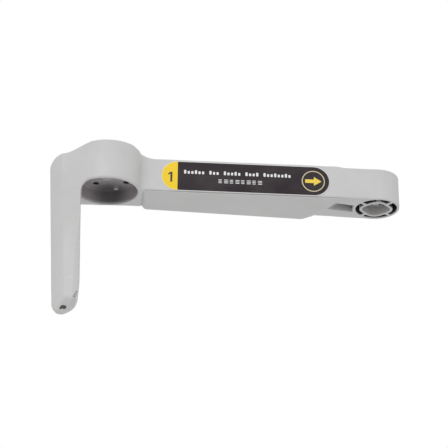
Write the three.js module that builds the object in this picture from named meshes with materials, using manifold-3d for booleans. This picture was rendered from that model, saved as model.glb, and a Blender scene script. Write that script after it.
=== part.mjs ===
// Folding front arm of a small camera drone, bare: shell, covers, label and hinge cartridge.
// Millimetres, +Z up. The origin lies on the hinge axis, on the face that meets the airframe.
// The arm runs toward -X from the hinge, folded, with its labelled face toward -Y.

import * as THREE from 'three';
import { mergeVertices } from 'three/addons/utils/BufferGeometryUtils.js';
import Module from 'manifold-3d';

// Arm shell, heights
const HINGE_TOP = -0.5;
const BEAM_TOP = -0.1;
const MOUNT_TOP = 0.95;
const SHELL_BOTTOM = -10.1;
const RIM_BOTTOM = -10.7;
const COVER_BOTTOM = -11.6;

// Arm shell, plan
const HINGE_R = 6.65;
const MOUNT_X = -76;
const MOUNT_Y = -4;
const MOUNT_R = 9.2;
const NEAR_Y_AT_MOUNT = -4.76;
const FAR_Y_AT_MOUNT = 4.3;
const MOUNT_FAR_Y = 5.2;
const COVER_LEFT = -66.1;
const COVER_NEAR_Z = -10.4;
const BLEND_R = 3;
const WALL = 1.2;

// Motor mount
const CUP_R = 8.2;
const RECESS_R = 8.35;
const SEAT_TOP = -4.9;
const SEAT_BOTTOM = -6.3;
const CENTRE_HOLE_R = 1.7;
const SCREW_HOLE_R = 0.8;
const SCREW_HOLES = [[-3.2, 4.1], [5.2, 2.6], [-1.2, -5.2]];
const LOCATING_DOME = [2.5, 6.1];
const DOME_R = 1.2;

// Landing leg
const LEG_LEAN = 0.058;
const LEG_FRONT_Y = -5.75;
const LEG_CREASE_X = -88.9;
const LEG_BOTTOM = -46.6;
const LEG_WALL = 1.15;
const ROOT_START = -11;
const ROOT_END = -38;
const ROOT_ANGLE = THREE.MathUtils.degToRad(231);
const LEG_COVER_TOP = -12;
const LEG_COVER_END = -42.6;
const SEAM_GAP = 0.1;
const BOARD_X = -87.6;
const BOARD_WIDTH = 2.8;
const BOARD_POST_HEIGHTS = [-18, -37];

// Hinge end
const EYE = { flat: 4.2, corner: 2.95 };
const SOCKET = { flat: 3.45, corner: 2.25 };
const RIB_ANGLES = [37, 127, 217, 307];
const RIB_WIDTH = 0.8;
const POCKET_R = 5.85;
const POCKET_Y = -0.3;
const POCKET_TOP = -3.2;
const COUNTERBORE_R = 4.45;
const COUNTERBORE_FLOOR = -1.95;

// Hinge cartridge
const SHAFT_R = 1.5;
const SHAFT_FLAT = 1.05;
const SHAFT_END = -8.5;
const FLANGE_R = 4.1;
const FLANGE_UNDER = -1.1;
const BARREL = { flat: 3.35, corner: 2.15 };
const BARREL_BORE = { flat: 2.85, corner: 1.65 };
const BARREL_FLOOR_TOP = -6.8;
const BARREL_END = -7.3;
const FOLLOWER = { flat: 2.72, corner: 1.55 };
const CAM_R = 2.7;
const CAM_FACE = -1.9;
const LOBE_TIP = -2.6;
const NOSE_TIP = -2;
const FOLLOWER_FACE = -2.75;
const FOLLOWER_END = -3.85;
const LOBE_ANGLE = 26;
const NOSE_ANGLE = 24;
const NOSE_START = 30;
const SPRING_R = 2.15;
const SPRING_WIRE_R = 0.21;
const SPRING_TURNS = 3;
const SPRING_TOP = -4.12;
const SPRING_FOOT = -6.18;
const LOBE_INNER_R = 1.85;
const NUT_R = 2.2;
const NUT_TOP = -7.7;
const NUT_FOOT = -8.4;
const FRICTION_WASHER = [3.3, 4.05, -1.45, -1.15];
const SPRING_SEAT = [1.65, 2.6, -6.78, -6.48];
const THRUST_WASHER = [1.6, 2.7, -7.65, -7.35];

// Label on the near face
const LABEL_LEFT = -61.3;
const LABEL_RIGHT = -14.15;
const LABEL_HALF_HEIGHT = 4.55;
const LABEL_Z = -5.3;
const LABEL_THICKNESS = 0.1;
const LABEL_GAP = 0.03;

const ROUND = 48;
const wasm = await Module();
wasm.setup();

const near = (x) => THREE.MathUtils.mapLinear(x, MOUNT_X, 0, NEAR_Y_AT_MOUNT, -HINGE_R);
const far = (x) => THREE.MathUtils.mapLinear(x, MOUNT_X, 0, FAR_Y_AT_MOUNT, HINGE_R);

// ---- solids -------------------------------------------------------------------------------

function solid(geometry) {
  const bare = geometry.clone();
  bare.deleteAttribute('normal');
  bare.deleteAttribute('uv');
  const merged = mergeVertices(bare, 1e-5);
  return new wasm.Manifold(new wasm.Mesh({
    numProp: 3,
    vertProperties: Float32Array.from(merged.attributes.position.array),
    triVerts: Uint32Array.from(merged.index.array),
  }));
}

function geometryOf(manifold) {
  const mesh = manifold.getMesh();
  const geometry = new THREE.BufferGeometry();
  geometry.setAttribute('position', new THREE.BufferAttribute(mesh.vertProperties, 3));
  geometry.setIndex(new THREE.BufferAttribute(mesh.triVerts, 1));
  geometry.computeVertexNormals();
  return geometry;
}

function extruded(shape, depth) {
  return new THREE.ExtrudeGeometry(shape, { depth, bevelEnabled: false, curveSegments: 10 });
}

// A shape in the XY plane, standing from z0 up to z1.
function upright(shape, z0, z1) {
  const geometry = extruded(shape, z1 - z0);
  geometry.translate(0, 0, z0);
  return solid(geometry);
}

// A shape drawn in X and Z, running from y0 to y1.
function crosswise(shape, y0, y1) {
  const geometry = extruded(shape, y1 - y0);
  geometry.rotateX(Math.PI / 2);
  geometry.translate(0, y1, 0);
  return solid(geometry);
}

// A shape drawn in Y and Z, running from x0 to x1.
function lengthwise(shape, x0, x1) {
  const geometry = extruded(shape, x1 - x0);
  geometry.rotateX(Math.PI / 2);
  geometry.rotateZ(Math.PI / 2);
  geometry.translate(x0, 0, 0);
  return solid(geometry);
}

function disc(x, y, radius, z0, z1, segments = ROUND) {
  const geometry = new THREE.CylinderGeometry(radius, radius, z1 - z0, segments);
  geometry.rotateX(Math.PI / 2);
  geometry.translate(x, y, (z0 + z1) / 2);
  return solid(geometry);
}

function block(x0, x1, y0, y1, z0, z1) {
  const geometry = new THREE.BoxGeometry(x1 - x0, y1 - y0, z1 - z0);
  geometry.translate((x0 + x1) / 2, (y0 + y1) / 2, (z0 + z1) / 2);
  return solid(geometry);
}

function washer(innerR, outerR, z0, z1) {
  const profile = [[innerR, z0], [outerR, z0], [outerR, z1], [innerR, z1], [innerR, z0]];
  const geometry = new THREE.LatheGeometry(profile.map(([r, z]) => new THREE.Vector2(r, z)), ROUND);
  geometry.rotateX(Math.PI / 2);
  return solid(geometry);
}

function polygon(points) {
  return new THREE.Shape(points.map(([x, y]) => new THREE.Vector2(x, y)));
}

// A square on its corner with round corners: the section of the hinge cartridge.
function eyeShape({ flat, corner }) {
  const shape = new THREE.Shape();
  const reach = (flat - corner) * Math.SQRT2;
  for (let side = 0; side < 4; side += 1) {
    const turn = side * Math.PI / 2;
    const x = reach * Math.cos(turn);
    const y = reach * Math.sin(turn);
    shape.absarc(x, y, corner, turn - Math.PI / 4, turn + Math.PI / 4, false);
  }
  return shape;
}

function sector(innerR, outerR, middle, width) {
  const start = THREE.MathUtils.degToRad(middle - width / 2);
  const end = THREE.MathUtils.degToRad(middle + width / 2);
  const shape = new THREE.Shape();
  shape.absarc(0, 0, outerR, start, end, false);
  shape.absarc(0, 0, innerR, end, start, true);
  return shape;
}

// ---- arm shell ----------------------------------------------------------------------------

function shellPlan() {
  const ringToBlend = MOUNT_R + BLEND_R;
  const blendX = MOUNT_X + Math.sqrt(ringToBlend ** 2 - (near(-64.5) - BLEND_R - MOUNT_Y) ** 2);
  const blendY = near(blendX) - BLEND_R;
  const toBlend = Math.atan2(blendY - MOUNT_Y, blendX - MOUNT_X);
  const shape = new THREE.Shape();
  shape.absarc(0, 0, HINGE_R, -Math.PI / 2, Math.PI / 2, false);
  shape.lineTo(-60, far(-60));
  shape.quadraticCurveTo(-70, far(-70), -77, MOUNT_FAR_Y);
  shape.lineTo(-86, MOUNT_FAR_Y + 0.4);
  shape.lineTo(LEG_CREASE_X + 0.7, LEG_FRONT_Y);
  shape.absarc(MOUNT_X, MOUNT_Y, MOUNT_R, ROOT_ANGLE, toBlend + 2 * Math.PI, false);
  shape.absarc(blendX, blendY, BLEND_R, toBlend + Math.PI, Math.PI / 2, true);
  return shape;
}

// The fillet is the size of the inner corner where the leg meets the rim.
function shellElevation(fillet) {
  const shape = new THREE.Shape();
  shape.moveTo(8, SHELL_BOTTOM);
  shape.lineTo(8, HINGE_TOP);
  shape.lineTo(-9.5, HINGE_TOP);
  shape.bezierCurveTo(-11, HINGE_TOP, -11, BEAM_TOP, -12.5, BEAM_TOP);
  shape.lineTo(-62.5, BEAM_TOP);
  shape.bezierCurveTo(-66.5, BEAM_TOP, -65.5, MOUNT_TOP, -70, MOUNT_TOP);
  shape.lineTo(-81, MOUNT_TOP);
  shape.bezierCurveTo(-84, MOUNT_TOP, -84, BEAM_TOP, -87, BEAM_TOP);
  shape.lineTo(-89.8, BEAM_TOP);
  shape.quadraticCurveTo(-92.1, BEAM_TOP - 0.1, -92.4, -2.6);
  shape.lineTo(-92.6, -20);
  shape.lineTo(-90.2, -42);
  shape.quadraticCurveTo(-89.6, -44.6, -88.4, -45.9);
  shape.quadraticCurveTo(-87.2, LEG_BOTTOM - 0.4, -86, -46);
  shape.lineTo(-84.3, -44.6);
  shape.quadraticCurveTo(-82.9, -43.3, -82.65, -41);
  shape.lineTo(-82.5, -38);
  shape.lineTo(-83.3, RIM_BOTTOM - fillet);
  shape.quadraticCurveTo(-83.2, RIM_BOTTOM, -83.2 + 0.7 * fillet, RIM_BOTTOM);
  shape.lineTo(COVER_LEFT - 0.1, RIM_BOTTOM);
  shape.lineTo(COVER_LEFT - 0.1, SHELL_BOTTOM);
  return shape;
}

// The leg's section where it would meet z = 0; it leans toward +X further down.
function legSection(inset) {
  const shape = new THREE.Shape();
  shape.moveTo(-80, LEG_FRONT_Y + inset);
  shape.lineTo(LEG_CREASE_X + inset * 0.5, LEG_FRONT_Y + inset);
  shape.quadraticCurveTo(-91.3 + inset, -3, -92.3 + inset, 0.6);
  shape.quadraticCurveTo(-92.4 + inset, 4.4, -89.6 + inset, 4.8);
  shape.lineTo(-80, 4.8);
  return shape;
}

function leaned(manifold) {
  return manifold.transform([1, 0, 0, 0, 0, 1, 0, 0, -LEG_LEAN, 0, 1, 0, 0, 0, 0, 1]);
}

function legSide() {
  const shape = new THREE.Shape();
  shape.moveTo(LEG_FRONT_Y, 3);
  shape.lineTo(LEG_FRONT_Y, -42.9);
  shape.quadraticCurveTo(-5.7, -43.5, -5.1, -43.9);
  shape.lineTo(-2.2, -46.2);
  shape.quadraticCurveTo(-1.3, LEG_BOTTOM - 0.1, -0.4, -46.3);
  shape.quadraticCurveTo(1.1, -45.4, 1.35, -43);
  shape.lineTo(3.1, -13);
  shape.lineTo(4.8, -9);
  shape.lineTo(4.8, 3);
  return shape;
}

function legSolid() {
  return leaned(upright(legSection(0), -50, 3)).intersect(lengthwise(legSide(), -96, -78));
}

// Below the rim the mount's near wall runs on, and draws back into the front of the leg.
function legRoot() {
  const creaseX = LEG_CREASE_X - LEG_LEAN * RIM_BOTTOM;
  const shape = new THREE.Shape();
  shape.moveTo(creaseX + 0.5, LEG_FRONT_Y + 1);
  const arcX = MOUNT_X + MOUNT_R * Math.cos(ROOT_ANGLE);
  const arcY = MOUNT_Y + MOUNT_R * Math.sin(ROOT_ANGLE);
  for (let part = 0; part < 1; part += 0.1) {
    shape.lineTo(creaseX + (arcX - creaseX) * part, LEG_FRONT_Y + (arcY - LEG_FRONT_Y) * part);
  }
  shape.absarc(MOUNT_X, MOUNT_Y, MOUNT_R, ROOT_ANGLE, ROOT_ANGLE + 0.12, false);
  shape.absarc(MOUNT_X, MOUNT_Y, RECESS_R, ROOT_ANGLE + 0.12, ROOT_ANGLE - 0.5, true);
  shape.lineTo(-84.6, LEG_FRONT_Y + 1);
  const geometry = new THREE.ExtrudeGeometry(shape, {
    depth: RIM_BOTTOM + 0.6 - ROOT_END, steps: 28, bevelEnabled: false, curveSegments: 8,
  });
  geometry.translate(0, 0, ROOT_END);
  const corners = geometry.attributes.position;
  for (let i = 0; i < corners.count; i += 1) {
    const reach = THREE.MathUtils.smoothstep(corners.getZ(i), ROOT_END, ROOT_START);
    const proud = LEG_FRONT_Y - corners.getY(i);
    if (proud > -0.01) {
      corners.setY(i, LEG_FRONT_Y - proud * reach + 0.05 * (1 - reach));
    }
    corners.setX(i, corners.getX(i) - LEG_LEAN * (corners.getZ(i) - RIM_BOTTOM));
  }
  return solid(geometry);
}

// The arm's outer form, before it is hollowed.
function outerForm() {
  const root = legRoot().intersect(crosswise(shellElevation(2.8), -15, 9));
  return upright(shellPlan(), RIM_BOTTOM, 3)
    .add(legSolid())
    .intersect(crosswise(shellElevation(0.4), -15, 9))
    .add(root);
}

// The part of the leg behind its parting plane, where the leg cover goes.
function behindParting(gap) {
  const shape = polygon([
    [0.25 - gap, LEG_COVER_END - gap], [9, LEG_COVER_END - gap],
    [9, LEG_COVER_TOP + gap], [1.95 - gap, LEG_COVER_TOP + gap],
  ]);
  return lengthwise(shape, -96, -78);
}

function legHollow() {
  const outline = polygon([
    [-85.4, -3], [-85.4, -11.2], [-84.5, -13], [-83.65, -38], [-83.6, -41.5], [-96, -41.5], [-96, -3],
  ]);
  const hollow = leaned(upright(legSection(LEG_WALL), -50, -2)).intersect(crosswise(outline, -8, 4));
  return hollow.intersect(block(-96, -80, -8, 3.4, -50, -3));
}

function boardPosts() {
  const posts = BOARD_POST_HEIGHTS.map((z) => {
    const x = BOARD_X - LEG_LEAN * z;
    const seat = new THREE.CylinderGeometry(0.9, 0.9, 1.5, 16).translate(x, LEG_FRONT_Y + LEG_WALL + 0.6, z);
    const pin = new THREE.CylinderGeometry(0.45, 0.45, 2.7, 16).translate(x, LEG_FRONT_Y + LEG_WALL + 1.2, z);
    return solid(seat).add(solid(pin));
  });
  return posts[0].add(posts[1]);
}

function tunnelPlan(inset) {
  const at = (x) => [x, near(x) + WALL + inset];
  const across = (x) => [x, far(x) - WALL - inset];
  return polygon([at(-64.6 + inset), at(-12.6 - inset), across(-19.6 - inset), across(-64.6 + inset)]);
}

function hingePockets() {
  let pockets = disc(0, POCKET_Y, POCKET_R, SHELL_BOTTOM - 1, POCKET_TOP)
    .subtract(upright(eyeShape(EYE), -12, 0));
  for (const angle of RIB_ANGLES) {
    const rib = new THREE.BoxGeometry(4, RIB_WIDTH, 12).translate(5.4, 0, -6);
    rib.rotateZ(THREE.MathUtils.degToRad(angle));
    pockets = pockets.subtract(solid(rib));
  }
  return pockets;
}

// The groove under the hinge end that deepens toward the hinge.
function wireGroove() {
  const plan = upright(polygon([[-13.7, 1.3], [-11.9, -2.7], [-6.6, -1.7], [-6.2, 2.4]]), -12, -4);
  const depth = crosswise(polygon([[-14, -12], [-6, -12], [-6, -6.4], [-7, -6.4], [-14, -9.6]]), -4, 4);
  return plan.intersect(depth).subtract(disc(0, 0, HINGE_R, -12, 0));
}

function snapPockets() {
  const pockets = [];
  for (const x of [-54, -28]) {
    pockets.push(block(x - 1.7, x + 1.7, near(x) + 0.75, near(x) + WALL + 0.4, -9.6, -8.6));
    pockets.push(block(x - 1.7, x + 1.7, far(x) - WALL - 0.4, far(x) - 0.75, -9.6, -8.6));
  }
  return pockets;
}

function mountCuts() {
  const cuts = [
    disc(MOUNT_X, MOUNT_Y, CUP_R, SEAT_TOP, 3, 64),
    disc(MOUNT_X, MOUNT_Y, RECESS_R, RIM_BOTTOM - 0.1, SEAT_BOTTOM, 64),
    disc(MOUNT_X, MOUNT_Y, CENTRE_HOLE_R, -8, 0, 32),
    block(-70, -63, -2.2, 1.8, -4.6, -1.5),
    block(-88, -82, -2.4, 0.6, -4.6, -3.05),
  ];
  for (const [x, y] of SCREW_HOLES) {
    cuts.push(disc(MOUNT_X + x, MOUNT_Y + y, SCREW_HOLE_R, -8, 0, 20));
  }
  return cuts;
}

function locatingDome() {
  const dome = new THREE.SphereGeometry(DOME_R, 20, 12);
  dome.scale(1, 1, 0.6);
  dome.translate(MOUNT_X + LOCATING_DOME[0], MOUNT_Y + LOCATING_DOME[1], SEAT_BOTTOM + 0.1);
  return solid(dome);
}

function armShell() {
  const cuts = [
    upright(tunnelPlan(0), SHELL_BOTTOM - 1, -1.4),
    block(-20, -5.2, -2.4, 2.4, -5.2, -1.7),
    hingePockets(),
    upright(eyeShape(SOCKET), -12, 0),
    disc(0, 0, COUNTERBORE_R, COUNTERBORE_FLOOR, 1),
    wireGroove(),
    legHollow(),
    behindParting(0),
    ...mountCuts(),
    ...snapPockets(),
  ];
  let shell = outerForm();
  for (const cut of cuts) {
    shell = shell.subtract(cut);
  }
  return shell.add(locatingDome()).add(boardPosts());
}

// ---- covers, label and antenna ------------------------------------------------------------

// The plan of the cover between its left end and the slanting line where it meets the hinge end.
function coverPlan(left, nearRight, farRight, inset) {
  return polygon([
    [left, near(left) + inset], [nearRight, near(nearRight) + inset],
    [farRight, far(farRight) - inset], [left, far(left) - inset],
  ]);
}

// The cover's outer face falls away from its near edge, and is deepest along its far side.
function coverSkin() {
  const step = 0.1;
  const top = upright(coverPlan(COVER_LEFT, -10, -17.2, 0), SHELL_BOTTOM - step, SHELL_BOTTOM);
  const foot = upright(coverPlan(COVER_LEFT, -10.5, -17.9, 0.1), COVER_NEAR_Z, COVER_NEAR_Z + step);
  const ridge = (left, right, inset, z) => upright(polygon([
    [left, far(left) - 1.2], [right + 0.6, far(right) - 1.2],
    [right, far(right) - inset], [left, far(left) - inset],
  ]), z, z + step);
  const shoulder = ridge(-65.4, -19.9, 0, COVER_BOTTOM + 0.4);
  const face = ridge(-64.9, -20.6, 0.4, COVER_BOTTOM);
  return wasm.Manifold.hull([top, foot, shoulder, face]);
}

function armCover() {
  let cover = coverSkin();
  const rails = upright(tunnelPlan(0.12), SHELL_BOTTOM - 0.2, -8.3)
    .subtract(upright(tunnelPlan(1), SHELL_BOTTOM - 1, -8));
  cover = cover.add(rails);
  for (const x of [-54, -28]) {
    cover = cover.add(block(x - 1.5, x + 1.5, near(x) + 0.85, near(x) + WALL + 0.4, -9.4, -8.8));
    cover = cover.add(block(x - 1.5, x + 1.5, far(x) - WALL - 0.4, far(x) - 0.85, -9.4, -8.8));
  }
  return cover.subtract(disc(MOUNT_X, MOUNT_Y, MOUNT_R + 0.1, -12, 0, 64));
}

function legCover() {
  const skin = outerForm().intersect(behindParting(-SEAM_GAP));
  const room = legHollow().intersect(block(-96, -80, -8, 4, LEG_COVER_END + 1.6, LEG_COVER_TOP - 0.4));
  const lip = room.subtract(room.translate([0.8, 0, 0]))
    .add(room.subtract(room.translate([-0.8, 0, 0])));
  const lipDepth = lengthwise(polygon([[-0.9, -42], [0.5, -42], [2.1, -12], [0.8, -12]]), -96, -78);
  return skin.add(lip.intersect(lipDepth));
}

function antennaBoard() {
  const outline = polygon([[-3.2, -39.5], [-2.4, -39.5], [-2.4, -15.5], [-3.2, -15.5]]);
  const board = lengthwise(outline, -BOARD_WIDTH / 2, BOARD_WIDTH / 2);
  const placed = leaned(board.translate([BOARD_X, 0, 0]));
  const holes = BOARD_POST_HEIGHTS.map((z) => {
    const x = BOARD_X - LEG_LEAN * z;
    return solid(new THREE.CylinderGeometry(0.6, 0.6, 4, 16).translate(x, -2.8, z));
  });
  return placed.subtract(holes[0]).subtract(holes[1]);
}

function antennaPad() {
  const pad = lengthwise(polygon([[-2.35, -33], [0.3, -33], [0.9, -22], [-2.35, -22]]), -0.8, 0.8);
  return leaned(pad.translate([BOARD_X, 0, 0]));
}

function labelOutline() {
  const half = LABEL_HALF_HEIGHT;
  const shape = new THREE.Shape();
  shape.absarc(LABEL_RIGHT - half, 0, half, -Math.PI / 2, Math.PI / 2, false);
  shape.absarc(LABEL_LEFT + half, 0, half, Math.PI / 2, 3 * Math.PI / 2, false);
  return shape;
}

// ---- hinge cartridge ----------------------------------------------------------------------

function hingeBarrel() {
  return disc(0, 0, COUNTERBORE_R - 0.15, COUNTERBORE_FLOOR, -1.5)
    .add(upright(eyeShape(BARREL), BARREL_END, -1.6))
    .subtract(upright(eyeShape(BARREL_BORE), BARREL_FLOOR_TOP, 0))
    .subtract(disc(0, 0, 1.75, -9, 0, 32));
}

function doubleD(radius, flat, z0, z1) {
  return disc(0, 0, radius, z0, z1, 32).intersect(block(-flat, flat, -3, 3, z0 - 1, z1 + 1));
}

function hingeShaft() {
  return disc(0, 0, FLANGE_R, FLANGE_UNDER, 0)
    .add(doubleD(SHAFT_R, SHAFT_FLAT, SHAFT_END, FLANGE_UNDER + 0.2))
    .subtract(disc(2.6, 0, 0.5, -0.8, 1, 16))
    .subtract(disc(-2.6, 0, 0.5, -0.8, 1, 16));
}

function fixedCam() {
  let cam = disc(0, 0, CAM_R, CAM_FACE, FLANGE_UNDER - 0.05);
  for (const middle of [0, 180]) {
    cam = cam.add(upright(sector(LOBE_INNER_R, CAM_R - 0.05, middle, LOBE_ANGLE), LOBE_TIP, CAM_FACE + 0.2));
  }
  return cam.subtract(doubleD(SHAFT_R + 0.06, SHAFT_FLAT + 0.06, -4, 0));
}

function camFollower() {
  let follower = upright(eyeShape(FOLLOWER), FOLLOWER_END, FOLLOWER_FACE);
  for (const middle of [NOSE_START, NOSE_START + 180]) {
    const nose = sector(LOBE_INNER_R, CAM_R - 0.05, middle, NOSE_ANGLE);
    follower = follower.add(upright(nose, FOLLOWER_FACE - 0.2, NOSE_TIP));
  }
  return follower.subtract(disc(0, 0, 1.65, -5, 0, 32));
}

class Coil extends THREE.Curve {
  constructor(radius, turns, z0, z1) {
    super();
    Object.assign(this, { radius, turns, z0, z1 });
  }

  getPoint(t, target = new THREE.Vector3()) {
    const angle = 2 * Math.PI * this.turns * t;
    return target.set(
      this.radius * Math.cos(angle),
      this.radius * Math.sin(angle),
      THREE.MathUtils.lerp(this.z0, this.z1, t),
    );
  }
}

function detentSpring() {
  const section = new THREE.Shape();
  section.absarc(0, 0, SPRING_WIRE_R, 0, 2 * Math.PI, false);
  const coil = new Coil(SPRING_R, SPRING_TURNS, SPRING_TOP, SPRING_FOOT);
  const geometry = new THREE.ExtrudeGeometry(section, {
    steps: 24 * SPRING_TURNS, extrudePath: coil, curveSegments: 8, bevelEnabled: false,
  });
  return solid(geometry);
}

function slottedNut() {
  return washer(SHAFT_R + 0.04, NUT_R, NUT_FOOT, NUT_TOP)
    .subtract(block(-0.35, 0.35, 1.7, 3, -9, -8))
    .subtract(block(-0.35, 0.35, -3, -1.7, -9, -8));
}

// ---- the assembly -------------------------------------------------------------------------

const plastic = { color: 0xc9cacb, roughness: 0.55, metalness: 0 };
const steel = { color: 0xa9abad, roughness: 0.35, metalness: 1 };

const assembly = new THREE.Group();

function place(name, manifold, look) {
  const mesh = new THREE.Mesh(geometryOf(manifold), new THREE.MeshStandardMaterial(look));
  mesh.name = name;
  assembly.add(mesh);
  return mesh;
}

place('arm_shell', armShell(), plastic);
place('arm_cover', armCover(), plastic);
place('leg_cover', legCover(), plastic);
place('antenna_board', antennaBoard(), { color: 0x2f5d3a, roughness: 0.5, metalness: 0 });
place('antenna_pad', antennaPad(), { color: 0x3a3a3c, roughness: 0.95, metalness: 0 });
place('hinge_barrel', hingeBarrel(), { color: 0x8d8f92, roughness: 0.4, metalness: 1 });
place('hinge_shaft', hingeShaft(), steel);
place('friction_washer', washer(...FRICTION_WASHER), { color: 0x3b3c3f, roughness: 0.6, metalness: 0 });
place('fixed_cam', fixedCam(), steel);
place('cam_follower', camFollower(), steel);
place('detent_spring', detentSpring(), { color: 0x6f7277, roughness: 0.3, metalness: 1 });
place('spring_seat', washer(...SPRING_SEAT), steel);
place('thrust_washer', washer(...THRUST_WASHER), { color: 0x8a6f3c, roughness: 0.4, metalness: 1 });
place('slotted_nut', slottedNut(), steel);

// The label's shape is drawn flat about its middle, then stood against the slanted near face.
const labelMiddle = (LABEL_LEFT + LABEL_RIGHT) / 2;
const film = new THREE.ExtrudeGeometry(labelOutline(), {
  depth: LABEL_THICKNESS, bevelEnabled: false, curveSegments: 16,
});
const label = place('instruction_label', solid(film), { color: 0x322a2d, roughness: 0.45, metalness: 0 });
label.geometry.translate(-labelMiddle, 0, 0);
label.rotation.set(Math.PI / 2, 0, Math.atan2(near(0) - near(-60), 60), 'ZXY');
label.position.set(labelMiddle, near(labelMiddle) - LABEL_GAP, LABEL_Z);

export default assembly;
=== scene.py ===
# Folding front arm of a small camera drone. Shapes are modelled in millimetres, in the frame's
# own axes, and each finished piece is brought to metres. The hinge axis is the Z axis, the folded
# arm runs toward -X, and the labelled face looks toward -Y.

import math

import bmesh
import bpy
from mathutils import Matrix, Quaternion, Vector


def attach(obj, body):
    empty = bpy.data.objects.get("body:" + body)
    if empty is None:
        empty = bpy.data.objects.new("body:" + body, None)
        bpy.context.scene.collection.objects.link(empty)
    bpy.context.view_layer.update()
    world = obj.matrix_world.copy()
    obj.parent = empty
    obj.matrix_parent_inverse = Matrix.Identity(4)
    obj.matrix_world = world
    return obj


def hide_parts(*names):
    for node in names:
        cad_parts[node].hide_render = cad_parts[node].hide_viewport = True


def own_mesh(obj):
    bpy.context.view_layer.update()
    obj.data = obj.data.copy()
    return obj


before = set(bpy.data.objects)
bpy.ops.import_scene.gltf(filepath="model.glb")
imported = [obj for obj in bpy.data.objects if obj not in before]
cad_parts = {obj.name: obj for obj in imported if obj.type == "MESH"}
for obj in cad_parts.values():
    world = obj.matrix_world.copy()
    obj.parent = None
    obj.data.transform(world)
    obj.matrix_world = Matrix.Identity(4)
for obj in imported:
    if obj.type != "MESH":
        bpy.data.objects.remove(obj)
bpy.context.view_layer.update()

MM = 0.001

# Heights
HINGE_TOP = -0.5
BEAM_TOP = -0.1
MOUNT_TOP = 0.95
SHELL_BOTTOM = -10.1
RIM_BOTTOM = -10.7
COVER_BOTTOM = -11.6
SEAT_TOP = -4.9
SEAT_BOTTOM = -6.3
LEG_BOTTOM = -46.6

# Plan
HINGE_R = 6.65
MOUNT = (-76, -4)
MOUNT_R = 9.2
MOUNT_FAR_Y = 5.2
CUP_R = 8.2
RECESS_R = 8.35
CENTRE_HOLE_R = 1.7
SCREW_HOLE_R = 0.8
SCREW_HOLES = ((-3.2, 4.1), (5.2, 2.6), (-1.2, -5.2))
DOME = (-73.5, 2.1)
DOME_R = 1.2
DOME_RISE = 0.6
BLEND_R = 3
WALL = 1.2
COVER_LEFT = -66.1
COVER_NEAR_Z = -10.4
NEAR_Y_AT_MOUNT = -4.76
FAR_Y_AT_MOUNT = 4.3

# Leg
LEG_LEAN = 0.058
LEG_FRONT_Y = -5.75
LEG_CREASE_X = -88.9
LEG_WALL = 1.15
ROOT_ANGLE = 231
ROOT_SWEEP = 7
ROOT_START = -11
ROOT_END = -38
ROOT_STEPS = 30
ROOT_FILLET = 2.8
RIM_FILLET = 0.4
POST_HEIGHTS = (-18, -37)
LEG_COVER_TOP = -12
LEG_COVER_END = -42.6

# Hinge end
EYE = (4.2, 2.95)
SOCKET = (3.45, 2.25)
POCKET_R = 5.85
POCKET_Y = -0.3
POCKET_TOP = -3.2
SHAFT_HOLE_R = 4.45
SHAFT_HOLE_FLOOR = -1.95
RIB_ANGLES = (37, 127, 217, 307)
RIB_WIDTH = 0.8

# Label
LABEL_LEFT = -61.3
LABEL_RIGHT = -14.15
LABEL_HALF = 4.55
LABEL_Z = -5.3
YELLOW_END = -56.75
FILM = 0.1
FILM_LIFT = 0.03
INK = 0.03
ARROW = (-18.8, -5.35)
RING_OUTER = 3.25
RING_INNER = 2.97

# Skins over the moulded forms: grid, rounds of smoothing, share of faces kept
FORM_SKIN = (0.3, 7)
SHELL_SKIN = (0.17, 3, 0.28)
COVER_SKIN = (0.14, 2, 0.3)
LEG_COVER_SKIN = (0.15, 3, 0.4)

# Colours
BARE = (0.36, 0.335, 0.342, 1)
# Painted shade for the corner of the mount's hollow
PAINTED_CORNER_SHADE = (0.125, 0.115, 0.12, 1)
# Painted shade for the deep screw holes
HOLE_PAINTED_SHADE = (0.006, 0.006, 0.006, 1)
# Painted shade for the deep hinge pockets
POCKET_PAINTED_SHADE = (0.05, 0.046, 0.046, 1)
# Painted light for the socket round the hinge axis
SOCKET_PAINTED_LIGHT = (0.50, 0.48, 0.48, 1)
KNOCK_DARK = (0.085, 0.075, 0.068, 1)
PAINT_COOL = (0.575, 0.577, 0.585, 1)
PAINT_WARM = (0.60, 0.595, 0.587, 1)
PAINT_RUBBED = (0.72, 0.72, 0.72, 1)
SCUFF = (0.2, 0.19, 0.18, 1)
DUST_ON_PAINT = (0.47, 0.465, 0.455, 1)
DUST_ON_FILM = (0.4, 0.39, 0.37, 1)
DUST_ON_METAL = (0.12, 0.11, 0.1, 1)
METAL_RUBBED = (0.8, 0.8, 0.8, 1)
FILM_MARGIN = (0.78, 0.78, 0.77, 1)

# Knocks through the paint on the sole, and fainter scuffs round the foot, with their sizes
TIP_KNOCKS = ((-87.1, -3.1, -45.45), (-86.65, -3.3, -45.3), (-86.25, -3.45, -45.2))
TIP_SCUFFS = (
    ((-86.6, -5.75, -43.4), 0.34), ((-83.8, -5.6, -42.95), 0.38), ((-83.5, -5.6, -42.3), 0.36),
    ((-83.25, -5.6, -41.7), 0.36), ((-88.2, -4.6, -44.0), 0.22),
)


def near(x):
    return NEAR_Y_AT_MOUNT + (-HINGE_R - NEAR_Y_AT_MOUNT) * (x - MOUNT[0]) / -MOUNT[0]


def far(x):
    return FAR_Y_AT_MOUNT + (HINGE_R - FAR_Y_AT_MOUNT) * (x - MOUNT[0]) / -MOUNT[0]


FACE_ANGLE = math.atan2(near(0) - near(-60), 60)


# ---- lines ---------------------------------------------------------------------------------


def arc(centre, radius, start, end, steps=16):
    """Points on a round arc, angles in degrees."""
    angles = [math.radians(start + (end - start) * i / steps) for i in range(steps + 1)]
    return [(centre[0] + radius * math.cos(a), centre[1] + radius * math.sin(a)) for a in angles]


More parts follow.
